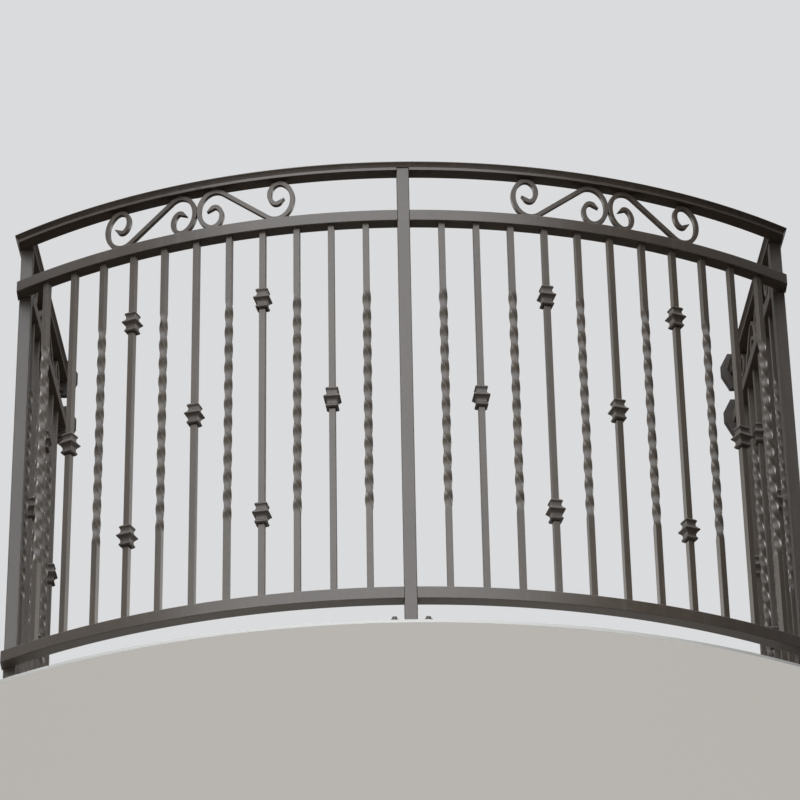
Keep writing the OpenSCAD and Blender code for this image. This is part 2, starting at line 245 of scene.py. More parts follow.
# Each recipe is a name, the colours of body, dust and rubbed arris, and the roughness of clean paint.
RECIPES = {
    # On tube and flat bar: brown-grey and, with the cap, the glossiest, so it mirrors the sky most.
    "frame_paint": ("satin_enamel_on_rails", "#3f362e", "#67605a", "#5f554b", 0.42),
    # On the cap, a shade darker, which gives the edge above the scrolls its weight.
    "cap_paint": ("satin_enamel_on_cap", "#3a322b", "#67605a", "#5a5047", 0.42),
    # On the pickets, a shade paler and duller than the rails that they stand between.
    "picket_paint": ("satin_enamel_on_pickets", "#41382f", "#67605a", "#5f554b", 0.44),
    # Over the grainy skin of a casting: darker, with a blurred gloss.
    "collar_paint": ("satin_enamel_on_castings", "#39312a", "#625b54", "#574e45", 0.50),
    # Over hammered bar: the rails' colour, a little duller.
    "scroll_paint": ("satin_enamel_on_scrolls", "#3f362e", "#67605a", "#5f554b", 0.45),
    # On drilled plate: dark, and duller than any bar.
    "plate_paint": ("satin_enamel_on_plates", "#3a322b", "#625b54", "#574e45", 0.48),
}
PAINTS = {slot: satin_enamel(*recipe) for slot, recipe in RECIPES.items()}
# Paint lies thin on the crest of a weld: a darker bead with less gloss, which outlines each joint.
WELD_PAINT = satin_enamel("thin_enamel_on_welds", "#332c27", "#5c554d", "#463d35", 0.58)
# The flanges get painted shade: a nearly black brown that stands in for the shade on them, rough, so it
# mirrors almost nothing.
FLANGE_SHADE_PAINT = satin_enamel("painted_shade_enamel_on_wall_flanges", "#2b231d", "#4f4740", "#463c33", 0.72)
print(len(PAINTS) + 2, "paints")

# %% [markdown]
# ## Surfaces from numbers
# A steel bar is a section carried along a line, and each bar here is worked out in the same way: the
# section is a closed outline with a soft arris at each corner, and the line gives a point and two
# directions at every step. The product of the two is a grid of points, computed in one go with numpy.
# The section's own tangent crossed with the direction of travel gives the exact normal, so that flat
# faces stay flat and only the arris catches the light.

# %% Sections


def unit(vectors):
    """Vectors of length one."""
    return vectors / np.linalg.norm(vectors, axis=-1, keepdims=True)


def bar_section(width, height, arris, lip=1.2 * MM, steps=3):
    """Outline of a bar, counterclockwise: in each corner a quarter circle of radius arris, with one
    more point at lip beyond either end of it, where the rubbing of the arris fades out. Returns the
    points, their unit tangents, and a weight that is 1 on the arris and 0 beyond the lip."""
    sweep = np.concatenate([[0.0], np.linspace(0, math.pi / 2, steps + 1), [math.pi / 2]])
    shift = np.concatenate([[-lip], np.zeros(steps + 1), [lip]])
    quarter = np.arange(4)[:, None] * math.pi / 2
    turn = (quarter + sweep).ravel()
    middle = quarter.ravel() + math.pi / 4
    centre = np.stack([np.sign(np.cos(middle)) * (width / 2 - arris),
                       np.sign(np.sin(middle)) * (height / 2 - arris)], axis=1).repeat(len(sweep), axis=0)
    tangent = np.stack([-np.sin(turn), np.cos(turn)], axis=1)
    outward = np.stack([np.cos(turn), np.sin(turn)], axis=1)
    points = centre + arris * outward + np.tile(shift, 4)[:, None] * tangent
    weight = np.tile(np.concatenate([[0.0], np.ones(steps + 1), [0.0]]), 4)
    return points, tangent, weight


def arc(centre, radii, start, end, steps):
    """Points and unit tangents of an elliptic arc between two angles in degrees."""
    turn = np.radians(np.linspace(start, end, steps))
    points = np.stack([centre[0] + radii[0] * np.cos(turn), centre[1] + radii[1] * np.sin(turn)], axis=1)
    tangent = np.stack([-radii[0] * np.sin(turn), radii[1] * np.cos(turn)], axis=1) * np.sign(end - start)
    return points, unit(tangent)


PICKET_ARRIS = 0.7 * MM
square_bar = bar_section(PICKET, PICKET, PICKET_ARRIS)
print("a picket's section has", len(square_bar[0]), "points")

# %% [markdown]
# Each part of a piece is kept as a few arrays until the piece is whole: points, faces, and one normal
# for each face corner. Then a single call for each array puts them into the mesh.

# %% Parts and pieces


def outward_normals(points, across, travel):
    """Normal of a tube of rings: across the section's tangent, times travel, turned so that it points
    away from the middle of each ring."""
    normals = np.broadcast_to(unit(np.cross(across, travel)), points.shape)
    away = points - points.mean(axis=1, keepdims=True)
    return normals * np.sign((normals * away).sum())


def grid_part(points, normals, weight=0.0, ring_closed=False):
    """A tube from a grid of points, rings by points round the section. Each four neighbours make one
    face, and the last point of a ring joins the first. A flat face closes either end, or else the
    last ring joins the first."""
    rings, count = points.shape[:2]
    here = np.arange(rings if ring_closed else rings - 1)[:, None] * count
    above = (here + count) % (rings * count)
    this, other = np.arange(count), (np.arange(count) + 1) % count
    quads = np.stack([here + this, here + other, above + other, above + this], axis=2).reshape(-1, 4)
    corner = points.reshape(-1, 3)[quads]
    facing = np.cross(corner[:, 2] - corner[:, 0], corner[:, 3] - corner[:, 1])
    if (facing * normals.reshape(-1, 3)[quads[:, 0]]).sum() < 0:
        quads = quads[:, ::-1]
    loops = [quads.ravel()]
    loop_normals = [normals.reshape(-1, 3)[quads.ravel()]]
    sizes = [np.full(len(quads), 4)]
    for ring, inner in (() if ring_closed else ((0, 1), (rings - 1, rings - 2))):
        ids = ring * count + this
        edge = points[ring] - points[ring].mean(axis=0)
        facing = unit(np.cross(edge, np.roll(edge, -1, axis=0)).sum(axis=0))
        if np.dot(facing, points[ring].mean(axis=0) - points[inner].mean(axis=0)) < 0:
            ids, facing = ids[::-1], -facing
        loops.append(ids)
        loop_normals.append(np.tile(facing, (count, 1)))
        sizes.append(np.array([count]))
    return {"points": points.reshape(-1, 3), "loops": np.concatenate(loops),
            "normals": np.concatenate(loop_normals), "sizes": np.concatenate(sizes),
            "arris": np.broadcast_to(weight, (rings, count)).ravel()}


def make_piece(name, parts, slot, *nodes, paint=None):
    """Joins parts into one mesh, gives it its paint, and lets it stand for its nodes."""
    starts = np.cumsum([0] + [len(part["points"]) for part in parts[:-1]])
    points = np.concatenate([part["points"] for part in parts])
    loops = np.concatenate([part["loops"] + start for part, start in zip(parts, starts)])
    sizes = np.concatenate([part["sizes"] for part in parts])
    mesh = bpy.data.meshes.new(name)
    mesh.vertices.add(len(points))
    mesh.vertices.foreach_set("co", points.ravel())
    mesh.loops.add(len(loops))
    mesh.loops.foreach_set("vertex_index", loops)
    mesh.polygons.add(len(sizes))
    mesh.polygons.foreach_set("loop_start", np.concatenate([[0], np.cumsum(sizes)[:-1]]))
    mesh.polygons.foreach_set("use_smooth", np.ones(len(sizes), dtype=bool))
    arris = mesh.attributes.new("arris", "FLOAT", "POINT")
    arris.data.foreach_set("value", np.concatenate([part["arris"] for part in parts]))
    mesh.update()
    mesh.normals_split_custom_set(np.concatenate([part["normals"] for part in parts]))
    mesh.materials.append(paint or PAINTS[slot])
    piece = new_object(name, mesh)
    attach(piece, "root")
    if nodes:
        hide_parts(*nodes)
    print(name, len(points), "points,", len(sizes), "faces")


square = np.array([(-1, -1, 0), (1, -1, 0), (1, 1, 0), (-1, 1, 0)], dtype=float)
cube = np.stack([square - UP, square + UP])
print("two rings of four points make a cube of", len(grid_part(cube, unit(cube))["sizes"]), "faces")

# %% [markdown]
# ## The bow
# Rails that follow the bow are rolled to a plan radius. A point of the section that lies at radius r
# then runs along a circle of its own, and each such circle meets the plane that cuts the rail's end at
# its own angle: A sin t - B cos t = C has the answer t = asin(C / |A, B|) + atan2(B, A). That trims
# the rails square to the posts and mitres the cap without a single cut.

# %% Bars along the bow


def on_side(side, x):
    """x on the right, -x on the left."""
    return -x if side == "left" else x


def angle_at(plane, radius):
    """Angle along the bow at which a circle of that radius meets the upright plane nx x + ny y = d."""
    nx, ny, distance = plane
    side, front = abs(nx) * radius, ny * radius
    reach = (distance - ny * BOW_RADIUS) / np.hypot(side, front)
    return math.copysign(1.0, nx) * (np.arcsin(reach) + np.arctan2(front, side))


def bow_part(section, level, start, end, rings=72):
    """A section carried along the bow from one upright plane to another. The section's first axis
    points outwards, away from the middle of the bow, and its second points up."""
    outline, tangent, weight = section
    radius = BOW_RADIUS + outline[:, 0]
    share = np.linspace(0, 1, rings)[:, None]
    angle = angle_at(start, radius) * (1 - share) + angle_at(end, radius) * share
    sin, cos = np.sin(angle), np.cos(angle)
    flat = np.zeros_like(sin)
    points = np.stack([radius * sin, BOW_RADIUS - radius * cos, level + outline[:, 1] + flat], axis=2)
    travel = np.stack([cos, sin, flat], axis=2)
    across = np.stack([tangent[:, 0] * sin, -tangent[:, 0] * cos, tangent[:, 1] + flat], axis=2)
    return grid_part(points, outward_normals(points, across, travel), weight)


print("the bow spans", round(2 * math.degrees(math.asin(HALF_WIDTH / BOW_RADIUS)), 1), "degrees")

# %% [markdown]
# ## The sides
# Each side runs straight back from the middle of its corner post to its flanges, and leans in a little
# on the way. A point of its section travels along a line of its own, which starts and ends where that
# line meets a plane, or the inner face of the curved rail: |w + t d| = r has the nearer answer
# t = -w.d - sqrt((w.d)^2 - w.w + r^2). The left side is the mirror of the right one.

# %% Bars along a straight line


def line_part(section, origin, first, second, travel, start, end):
    """A section carried in a straight line. Its axes are first and second, and start and end are
    lengths along the direction of travel, one number or one for each point of the section."""
    outline, tangent, weight = section
    length = np.stack([np.zeros(len(outline)) + start, np.zeros(len(outline)) + end])
    first, second, travel = (np.array(axis, dtype=float) for axis in (first, second, travel))
    points = origin + (outline[:, :1] * first + outline[:, 1:] * second) + length[..., None] * travel
    across = tangent[:, :1] * first + tangent[:, 1:] * second
    return grid_part(points, outward_normals(points, across, travel), weight)


def side_axes(side):
    """Middle of the corner post, and the outward and backward direction of a side."""
    origin = np.array([on_side(side, SIDE_X), CORNER_Y, 0.0])
    outward = np.array([on_side(side, math.cos(LEAN)), math.sin(LEAN), 0.0])
    backward = np.array([-on_side(side, math.sin(LEAN)), math.cos(LEAN), 0.0])
    return origin, outward, backward


def length_to_plane(plane, across):
    """Length along the right side at which a line that far outwards meets nx x + ny y = d."""
    nx, ny, distance = plane
    x, y = SIDE_X + across * math.cos(LEAN), CORNER_Y + across * math.sin(LEAN)
    return (distance - nx * x - ny * y) / (ny * math.cos(LEAN) - nx * math.sin(LEAN))


def length_to_bow(radius, across):
    """Length along the right side at which a line that far outwards meets a circle of the bow."""
    x, y = SIDE_X + across * math.cos(LEAN), CORNER_Y + across * math.sin(LEAN) - BOW_RADIUS
    along = y * math.cos(LEAN) - x * math.sin(LEAN)
    return -along - np.sqrt(along ** 2 - x ** 2 - y ** 2 + radius ** 2)


SIDE_FROM, SIDE_TO = (length_to_plane((0, 1, y), 0.0) for y in (SIDE_START, SIDE_END))
print("a side is %.0f mm long" % (SIDE_TO / MM))

# %% [markdown]
# ## Rails
# The mid rail and the bottom rail are rectangular tube. Cold-drawn tube has corners about as round as
# its steel is thick, so the arris is 1.9 mm. The top rail is hot-rolled flat bar, with a crisper edge.
# In front the rails run from the centre post to just past the corner posts, and at the sides they run
# back from the corner posts to the flanges.

# %% Rails
TUBE_ARRIS, FLAT_ARRIS = 1.9 * MM, 0.6 * MM


def rail(side, where, name, arris):
    """One rail of the front or of a side, as tube or flat bar."""
    node = f"{name}_rail_{where}_{side}"
    low, high = corners(node)
    section = bar_section(RAIL, high[2] - low[2], arris)
    middle = (low[2] + high[2]) / 2
    if where == "front":
        part = bow_part(section, middle, (1.0, 0.0, on_side(side, POST / 2)),
                        (1.0, 0.0, on_side(side, HALF_WIDTH + RAIL_PROUD)))
    else:
        origin, outward, backward = side_axes(side)
        across = section[0][:, 0]
        start = (length_to_bow(BOW_RADIUS - RAIL / 2, across) if name == "top"
                 else length_to_plane((0, 1, SIDE_START), across))
        part = line_part(section, origin + middle * UP, outward, UP, backward,
                         start, length_to_plane((0, 1, SIDE_END), across))
    make_piece(f"{node}_bar", [part], "frame_paint", node)


for side in ("left", "right"):
    for where in ("front", "side"):
        rail(side, where, "top", FLAT_ARRIS)
        rail(side, where, "mid", TUBE_ARRIS)
        rail(side, where, "bottom", TUBE_ARRIS)

# %% [markdown]
# ## Posts
# Three square tubes carry the frame. The centre post runs up through the rails to the cap, and the two
# corner posts stand behind the ends of the curved rails, turned the same way as the centre post.

# %% Posts
POST_SECTION = bar_section(POST, POST, TUBE_ARRIS)


def upright(section, x, y, low, high, turn=0.0):
    """A bar that stands at (x, y) from one level to another, turned about its own axis."""
    first = (math.cos(turn), math.sin(turn), 0)
    second = (-math.sin(turn), math.cos(turn), 0)
    return line_part(section, np.array([x, y, 0]), first, second, UP, low, high)


for node in ("post_centre", "post_corner_left", "post_corner_right"):
    low, high = corners(node)
    x, y = (low[:2] + high[:2]) / 2
    make_piece(f"{node}_tube", [upright(POST_SECTION, x, y, low[2], high[2])], "frame_paint", node)

# %% [markdown]
# ## Cap rail
# The cap is a rolled handrail moulding: a flat foot on the top rail, a hollow slope out to a thin
# rounded nose, and a low crown. Seen from below, the slope is what makes the whole edge dark. The
# outline is drawn once and then carried along the bow and along the two sides. The ends meet in a
# mitre, a plane through the outer and the inner corner of the two outlines.

# %% Cap rail
CAP_NOSE, CAP_CROWN, CAP_HOLLOW = 3.2 * MM, 1.6 * MM, 0.25 * MM
NOSE_FROM, NOSE_TO, NOSE_POINTS = -60, 88, 11
FOOT_BEVEL, CAP_RINGS = 0.2 * MM, 120


def cap_section():
    """Outline of the cap, counterclockwise from the right end of its foot: the slope p = a + t b, with
    4 t (1 - t) times the hollow square to it, the nose, the crown z = h - c (x / nose)^2, and the same
    mirrored on the left. The foot's corner is a bevel too small to see, so that no two points meet."""
    radius = CAP_NOSE / 2
    nose_at = np.array([CAP_WIDTH / 2 - radius, CAP_HEIGHT - CAP_CROWN - radius])
    nose, nose_tangent = arc(nose_at, (radius, radius), NOSE_FROM, NOSE_TO, NOSE_POINTS)
    foot = np.array([RAIL / 2, 0.0])
    slope = nose[0] - foot
    inward = unit(np.array([-slope[1], slope[0]]))
    t = np.concatenate([[0.03], np.linspace(0, 1, 8)[1:-1]])[:, None]
    hollow = foot + t * slope + 4 * t * (1 - t) * CAP_HOLLOW * inward
    hollow_tangent = unit(slope + 4 * (1 - 2 * t) * CAP_HOLLOW * inward)
    x = nose_at[0] * np.array([0.94, 0.75, 0.5, 0.25])
    crown = np.stack([x, CAP_HEIGHT - CAP_CROWN * (x / nose_at[0]) ** 2], axis=1)
    crown_tangent = unit(np.stack([-np.ones(len(x)), 2 * CAP_CROWN * x / nose_at[0] ** 2], axis=1))
    points = np.concatenate([[foot - (FOOT_BEVEL, 0.0)], hollow, nose, crown])
    tangent = np.concatenate([[[1.0, 0.0]], hollow_tangent, nose_tangent, crown_tangent])
    weight = np.concatenate([np.zeros(1 + len(hollow)), np.ones(len(nose)), np.zeros(len(crown))])
    return (np.concatenate([points, [[0.0, CAP_HEIGHT]], points[::-1] * (-1, 1)]),
            np.concatenate([tangent, [[-1.0, 0.0]], tangent[::-1] * (1, -1)]),
            np.concatenate([weight, [0.0], weight[::-1]]))


def mitre():
    """The upright plane through the outer and the inner corner of the cap's plan, on the right."""
    origin, outward, backward = side_axes("right")
    outer, inner = (origin + across * outward + length_to_bow(BOW_RADIUS + across, across) * backward
                    for across in (CAP_WIDTH / 2, -CAP_WIDTH / 2))
    nx, ny = (outer - inner)[1], -(outer - inner)[0]
    return nx, ny, nx * inner[0] + ny * inner[1]


moulding = cap_section()
nx, ny, distance = mitre()
front = bow_part(moulding, cap_low[2], (-nx, ny, distance), (nx, ny, distance), CAP_RINGS)
make_piece("cap_rail_front", [front], "cap_paint", "cap_front")
for side in ("left", "right"):
    origin, outward, backward = side_axes(side)
    across = moulding[0][:, 0]
    part = line_part(moulding, origin + cap_low[2] * UP, outward, UP, backward,
                     length_to_plane((nx, ny, distance), across),
                     length_to_plane((0, 1, SIDE_END), across))
    make_piece(f"cap_rail_{side}", [part], "cap_paint", f"cap_side_{side}")

# %% [markdown]
# ## Pickets
# The pickets are half inch square bar. Every second one is twisted cold in a lathe: three full turns
# between two marks, which leaves the plain ends square to the rail. The angle grows evenly along the
# bar, with a short soft start at either end where the steel only begins to yield.

# %% Pickets
FEATURE_LEVEL = (collar_low[2] + collar_high[2]) / 2
TWIST_LENGTH, TWIST_EASE, TWIST_TURNS, TWIST_RINGS = 508 * MM, 12 * MM, 3.0, 193
TWIST_LOW, TWIST_HIGH = FEATURE_LEVEL - TWIST_LENGTH / 2, FEATURE_LEVEL + TWIST_LENGTH / 2


def twist_angle(level):
    """Angle of the section at each level: the rate of twist rises smoothly from nothing over the ease,
    stays even, and falls again, and its sum is scaled to the whole number of turns. It is negative,
    so the arris that faces the front climbs to the left."""
    fine = np.linspace(TWIST_LOW, TWIST_HIGH, 2001)
    near_end = np.clip(np.minimum(fine - TWIST_LOW, TWIST_HIGH - fine) / TWIST_EASE, 0, 1)
    rate = near_end ** 2 * (3 - 2 * near_end)
    summed = np.concatenate([[0], np.cumsum((rate[1:] + rate[:-1]) / 2)])
    return -np.interp(level, fine, summed / summed[-1]) * TWIST_TURNS * 2 * math.pi


def twisted_part(x, y, turn):
    """A twisted bar: each ring is the section turned by twist_angle. The travel of a point along the
    bar is the difference between its neighbours in the rings above and below."""
    outline, tangent, weight = square_bar
    level = np.linspace(TWIST_LOW, TWIST_HIGH, TWIST_RINGS)
    level = np.concatenate([[PICKET_LOW], level, [PICKET_HIGH]])
    angle = turn + twist_angle(level)
    cos, sin = np.cos(angle)[:, None], np.sin(angle)[:, None]
    flat = np.zeros((len(level), len(outline)))
    points = np.stack([x + outline[:, 0] * cos - outline[:, 1] * sin,
                       y + outline[:, 0] * sin + outline[:, 1] * cos, level[:, None] + flat], axis=2)
    across = np.stack([tangent[:, 0] * cos - tangent[:, 1] * sin,
                       tangent[:, 0] * sin + tangent[:, 1] * cos, flat], axis=2)
    travel = np.gradient(points, level, axis=0)
    travel[[0, 1, -2, -1]] = UP
    return grid_part(points, outward_normals(points, across, travel), weight)


def picket_places(side, where):
    """Number, place and turn of each picket of one stretch, counted from the centre post in front and
    from the corner post at a side."""
    if where == "front":
        first = POST / 2 + PICKET_PITCH - PICKET / 2
        last = BOW_RADIUS * math.asin((SIDE_X - POST) / BOW_RADIUS)
        angle = (first + np.arange(int((last - first) / PICKET_PITCH) + 1) * PICKET_PITCH) / BOW_RADIUS
        x, y = BOW_RADIUS * np.sin(angle), BOW_RADIUS * (1 - np.cos(angle))
    else:
        count = round((SIDE_TO - SIDE_FROM) / PICKET_PITCH) - 1
        along = SIDE_FROM + (1 + np.arange(count)) * (SIDE_TO - SIDE_FROM) / (count + 1)
        x, y = SIDE_X - along * math.sin(LEAN), CORNER_Y + along * math.cos(LEAN)
        angle = np.full(count, LEAN)
    return [(i + 1, on_side(side, x[i]), y[i], on_side(side, angle[i])) for i in range(len(x))]


stretches = [(side, where) for side in ("left", "right") for where in ("front", "side")]
for side, where in stretches:
    places = picket_places(side, where)
    twisted = [twisted_part(x, y, turn) for i, x, y, turn in places if i % 2 == 1]
    plain = [upright(square_bar, x, y, PICKET_LOW, PICKET_HIGH, turn)
             for i, x, y, turn in places if i % 2 == 0]
    make_piece(f"twisted_pickets_{where}_{side}", twisted, "picket_paint", f"twisted_{where}_{side}")
    make_piece(f"plain_pickets_{where}_{side}", plain, "picket_paint", f"straight_{where}_{side}")

# %% [markdown]
# ## Collars
# The collars, or knuckles, are small iron castings that slide over a plain picket before it is welded
# in: three square lips, the middle one the widest, with a hollow neck between each two and a bevel at
# either end. A casting can't have the crisp edges of rolled bar, so every lip is rounded and the
# corners are soft all round. The side is one profile of half widths and levels, and at each level the
# section is a rounded square of that width.

# %% Collars
COLLAR_HEIGHT, COLLAR_LIP, COLLAR_BEVEL = 46 * MM, 2.6 * MM, 2.4 * MM
COLLAR_END, COLLAR_MIDDLE, COLLAR_NECK = 12.5 * MM, 16.5 * MM, 10.2 * MM
COLLAR_INSIDE, BEVEL_SOFT = 0.9 * PICKET / 2, 0.3 * MM
LIP_ROUND, CAST_CORNER, CORNER_RUB = 0.8 * MM, 1.1 * MM, 0.6
END_ARC, MIDDLE_ARC = 45, 55


def lip_profile(half_width, level, low_angle, high_angle):
    """Profile of one lip from its underside to its top: two small arcs, from the angle at which what is
    below it ends to the angle at which what is above it begins."""
    middle = half_width - LIP_ROUND
    low = arc((middle, level + LIP_ROUND), (LIP_ROUND,) * 2, low_angle, 0, 4)
    high = arc((middle, level + COLLAR_LIP - LIP_ROUND), (LIP_ROUND,) * 2, 0, high_angle, 4)
    return np.concatenate([low[0], high[0]]), np.concatenate([low[1], high[1]]), np.ones(8)


def hollow_profile(low, high, level, height):
    """Profile of one neck, from half width low to high: w = low + (high - low) t - 4 d t (1 - t), where
    d brings the middle in to the neck."""
    t = np.linspace(0, 1, 11)[1:-1]
    deep = (low + high) / 2 - COLLAR_NECK
    points = np.stack([low + (high - low) * t - 4 * deep * t * (1 - t), level + height * t], axis=1)
    tangent = unit(np.stack([high - low - 4 * deep * (1 - 2 * t), np.full(len(t), height)], axis=1))
    return points, tangent, np.zeros(len(t))


def end_profile(level, inward):
    """Profile of the flat end of a collar and the start of its bevel, from inside the bar outwards, or
    the same mirrored and turned about, from the end of the bevel inwards."""
    foot = COLLAR_END - COLLAR_BEVEL
    half_width = np.array([COLLAR_INSIDE, foot - BEVEL_SOFT, foot + BEVEL_SOFT])
    up = np.array([0.0, 0.0, BEVEL_SOFT])
    slope = math.sqrt(0.5)
    if inward:
        points = np.stack([half_width, level - up], axis=1)[::-1]
        return points, np.array([[-slope, slope], [-1.0, 0.0], [-1.0, 0.0]]), np.zeros(3)
    points = np.stack([half_width, level + up], axis=1)
    return points, np.array([[1.0, 0.0], [1.0, 0.0], [slope, slope]]), np.zeros(3)


def collar_profile():
    """Half widths and levels of a collar from its foot to its top, their tangents, and 1 on the lips."""
    step = (COLLAR_HEIGHT - 2 * COLLAR_BEVEL - 3 * COLLAR_LIP) / 2
    second, top = (COLLAR_HEIGHT - COLLAR_LIP) / 2, COLLAR_HEIGHT - COLLAR_BEVEL
    pieces = [end_profile(0.0, False),
              lip_profile(COLLAR_END, COLLAR_BEVEL, -END_ARC, END_ARC),
              hollow_profile(COLLAR_END, COLLAR_MIDDLE, COLLAR_BEVEL + COLLAR_LIP, step),
              lip_profile(COLLAR_MIDDLE, second, -MIDDLE_ARC, MIDDLE_ARC),
              hollow_profile(COLLAR_MIDDLE, COLLAR_END, second + COLLAR_LIP, step),
              lip_profile(COLLAR_END, top - COLLAR_LIP, -END_ARC, END_ARC),
              end_profile(COLLAR_HEIGHT, True)]
    return tuple(np.concatenate(column) for column in zip(*pieces))


def collar_part(x, y, low, turn):
    """A collar round a picket: at each level the section of the end lip is moved out, corner by corner,
    by the profile's half width less that of the lip: p + s (w - w0), with s the signs of the corner."""
    profile, climb, on_lip = collar_profile()
    section, tangent, weight = bar_section(2 * COLLAR_END, 2 * COLLAR_END, CAST_CORNER)
    signs = np.sign(section)
    cos, sin = math.cos(turn), math.sin(turn)
    turned = np.array([[cos, sin], [-sin, cos]])
    flat = (section + (profile[:, 0] - COLLAR_END)[:, None, None] * signs) @ turned
    run = climb[:, 0, None, None] * (signs @ turned)
    level = np.broadcast_to(low + profile[:, 1:], flat.shape[:2])
    rise = np.broadcast_to(climb[:, 1:], flat.shape[:2])
    around = np.broadcast_to(tangent @ turned, flat.shape)
    points = np.dstack([flat + (x, y), level])
    across = np.dstack([around, np.zeros(flat.shape[:2])])
    return grid_part(points, outward_normals(points, across, np.dstack([run, rise])),
                     np.maximum(on_lip[:, None], CORNER_RUB * weight))


def collar_levels(number):
    """Foot of each collar of a picket: every fourth picket has two, and the even ones between have one."""
    if number % 4 == 0:
        return [collar_low[2], collar_high[2] - COLLAR_HEIGHT]
    return [FEATURE_LEVEL - COLLAR_HEIGHT / 2] if number % 2 == 0 else []


for side, where in stretches:
    collars = [collar_part(x, y, low, turn)
               for i, x, y, turn in picket_places(side, where) for low in collar_levels(i)]
    make_piece(f"cast_collars_{where}_{side}", collars, "collar_paint", f"collars_{where}_{side}")

# %% [markdown]
# ## Scrolls
# Each scroll is a square bar bent to an S on a jig. Its path is made of three arcs on either side of a
# straight run, each tangent to the last, and all squeezed in width, because the jig's former is oval.
# The last half inch of each end is hammered to a wedge before bending, so that the section gets
# thinner across the bend and keeps its depth.

# %% Scrolls
SCROLL_BAR, SCROLL_LENGTH, SQUEEZE = 9.5 * MM, 206.6 * MM, 0.79
SECOND_RADIUS, LAST_RADIUS = 25.2 * MM, 13.5 * MM
SECOND_FROM, LAST_FROM, TAPER_FROM = -66, -235, -305
TAPER, TIP, PAIR_WELD = 13 * MM, 1.6 * MM, 0.4 * MM
SCROLL_ARRIS, ARC_STEP = 1.1 * MM, 6
SCROLL_GAP = top_low[2] - mid_high[2]
FIRST_RADIUS = (SCROLL_GAP - SCROLL_BAR) / 2
VOLUTE_X = (SCROLL_LENGTH - SCROLL_BAR) / 2 - SQUEEZE * FIRST_RADIUS


def toward(angle):
    """Unit vector at an angle in degrees, squeezed in width."""
    return np.array([SQUEEZE * math.cos(math.radians(angle)), math.sin(math.radians(angle))])


def scroll_path():
    """Points of the middle line from tip to tip, and the bar's width across the bend at each. The
    second half is drawn, and the first is the same turned by half a turn. An arc starts a step after
    the end of the one before, so that no point comes twice."""
    lean = math.degrees(math.asin(SQUEEZE * FIRST_RADIUS / VOLUTE_X))
    second = np.array([VOLUTE_X, 0.0]) + (FIRST_RADIUS - SECOND_RADIUS) * toward(SECOND_FROM)
    last = second + (SECOND_RADIUS - LAST_RADIUS) * toward(LAST_FROM)
    turns = [arc(centre, (SQUEEZE * radius, radius), start, end, steps)[0]
             for centre, radius, start, end, steps in (
                 ((VOLUTE_X, 0.0), FIRST_RADIUS, 90 + lean, SECOND_FROM, 32),
                 (second, SECOND_RADIUS, SECOND_FROM - ARC_STEP, LAST_FROM, 28),
                 (last, LAST_RADIUS, LAST_FROM - ARC_STEP, TAPER_FROM, 12))]
    straight = unit(turns[-1][-1] - turns[-1][-2]) * np.linspace(0, TAPER, 7)[1:, None]
    half = np.concatenate([*turns, turns[-1][-1] + straight])
    path = np.concatenate([-half[::-1], half])
    run = np.concatenate([[0.0], np.cumsum(np.linalg.norm(np.diff(path, axis=0), axis=1))])
    to_end = np.minimum(run, run[-1] - run)
    return path, run, TIP + (SCROLL_BAR - TIP) * np.clip(to_end / TAPER, 0, 1)


def scroll_part(middle, first):
    """The bar swept along its path, whose axes are first and up: a point (u, v) of the section lies at
    p + u n across the bend, with u drawn in towards the tips, and at v in depth."""
    path, run, width = scroll_path()
    outline, tangent, weight = bar_section(SCROLL_BAR, SCROLL_BAR, SCROLL_ARRIS)
    depth = np.cross(first, UP)
    along = unit(np.gradient(path, run, axis=0))
    normal = np.stack([-along[:, 1], along[:, 0]], axis=1)
    flat = path[:, None] + outline[:, :1] * (width[:, None] / SCROLL_BAR * normal)[:, None]
    points = middle + flat[..., :1] * first + flat[..., 1:] * UP + outline[:, 1:] * depth
    bend = normal[:, :1] * first + normal[:, 1:] * UP
    across = tangent[:, :1] * bend[:, None] + tangent[:, 1:] * depth
    return grid_part(points, outward_normals(points, across, np.gradient(points, run, axis=0)), weight)


def scroll_places(side, where):
    """Middle of each of the two scrolls of one stretch, and the direction of its path's first axis,
    which points towards the other scroll. They sit on either side of the middle picket's place. A
    scroll is flat, so in front its middle lies inside the bow by half the bow's rise over its length,
    L^2 / 16 R, and its ends lie as far outside."""
    reach = (SCROLL_LENGTH - PAIR_WELD) / 2
    level = (mid_high[2] + top_low[2]) / 2 * UP
    places = []
    for sign in (-1, 1):
        if where == "front":
            pickets = picket_places("right", "front")
            angle = pickets[len(pickets) // 2][3] + sign * reach / BOW_RADIUS
            radius = BOW_RADIUS - SCROLL_LENGTH ** 2 / 16 / BOW_RADIUS
            middle = np.array([on_side(side, radius * math.sin(angle)),
                               BOW_RADIUS - radius * math.cos(angle), 0])
            sideways = np.array([on_side(side, math.cos(angle)), math.sin(angle), 0])
        else:
            origin, _, sideways = side_axes(side)
            middle = origin + ((SIDE_FROM + SIDE_TO) / 2 + sign * reach) * sideways
        places.append((middle + level, -sign * sideways))
    return places


for side, where in stretches:
    scrolls = [scroll_part(*place) for place in scroll_places(side, where)]
    make_piece(f"forged_scrolls_{where}_{side}", scrolls, "scroll_paint", f"scrolls_{where}_{side}")

# %% [markdown]
# ## Welds
# Everything is joined with small arc welds, painted over but never quite smooth. A bead runs round the
# foot and the head of each picket, round the posts where they stand on their plates, and round the
# rails where they end at the flanges. Its section is a fillet, and its size swells and shrinks as the
# weld pool did. Where two bars only touch, the weld is a flat lump.

# %% Beads and lumps
BEAD_OUT = np.array([-0.5, 1.0, 0.62, 0.36, 0.12, -0.5])
BEAD_UP = np.array([-0.5, -0.5, 0.22, 0.5, 0.95, 0.8])
BEAD_STEPS, WAVES, WAVE_SHARES = 4, np.array([4.2, 7.0, 13.0]) * MM, (0.10, 0.10, 0.12)


